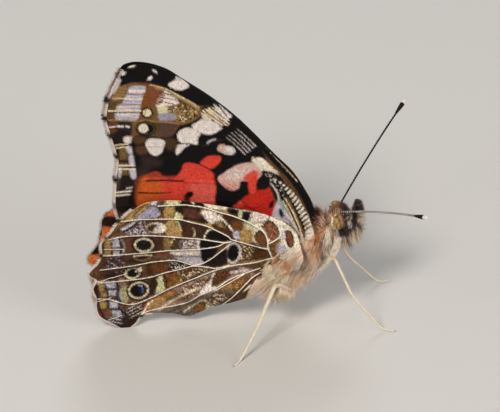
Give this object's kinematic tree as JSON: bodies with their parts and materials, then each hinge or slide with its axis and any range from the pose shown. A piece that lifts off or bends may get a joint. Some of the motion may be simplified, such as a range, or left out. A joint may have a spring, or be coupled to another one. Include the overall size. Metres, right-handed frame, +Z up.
{
  "type": "painted lady butterfly",
  "caption": "Life-size painted lady butterfly at rest, wings closed over its back, standing on its walking legs and the low corner of a hindwing.",
  "frame": {"origin": "on the floor, under the middle of the whole butterfly's length and width", "axes": "+X forward to the head, +Z up, the butterfly's right side faces -Y"},
  "size_m": [0.0368, 0.0232, 0.0341],
  "materials": {
    "thorax_fur": "long soft hair, matte",
    "abdomen_scales": "short hair and scales, matte",
    "face_scales": "scales and hair, matte",
    "eye": "satin, finely faceted",
    "antenna": "satin, ringed",
    "leg_scales": "matte",
    "forewing_scales": "dusty scales, matte",
    "hindwing_scales": "dusty scales, matte"
  },
  "bodies": {
    "root": {"thorax": "thorax_fur", "abdomen": "abdomen_scales", "head": "face_scales", "eye_right": "eye", "palp_right": "face_scales", "antenna_right": "antenna", "forewing_right": "forewing_scales", "hindwing_right": "hindwing_scales", "foreleg_right": "leg_scales", "midleg_right_femur": "leg_scales", "midleg_right_tibia": "leg_scales", "midleg_right_tarsus": "leg_scales", "hindleg_right_femur": "leg_scales", "hindleg_right_tibia": "leg_scales", "hindleg_right_tarsus": "leg_scales", "eye_left": "eye", "palp_left": "face_scales", "antenna_left": "antenna", "forewing_left": "forewing_scales", "hindwing_left": "hindwing_scales", "foreleg_left": "leg_scales", "midleg_left_femur": "leg_scales", "midleg_left_tibia": "leg_scales", "midleg_left_tarsus": "leg_scales", "hindleg_left_femur": "leg_scales", "hindleg_left_tibia": "leg_scales", "hindleg_left_tarsus": "leg_scales"}
  },
  "joints": []
}
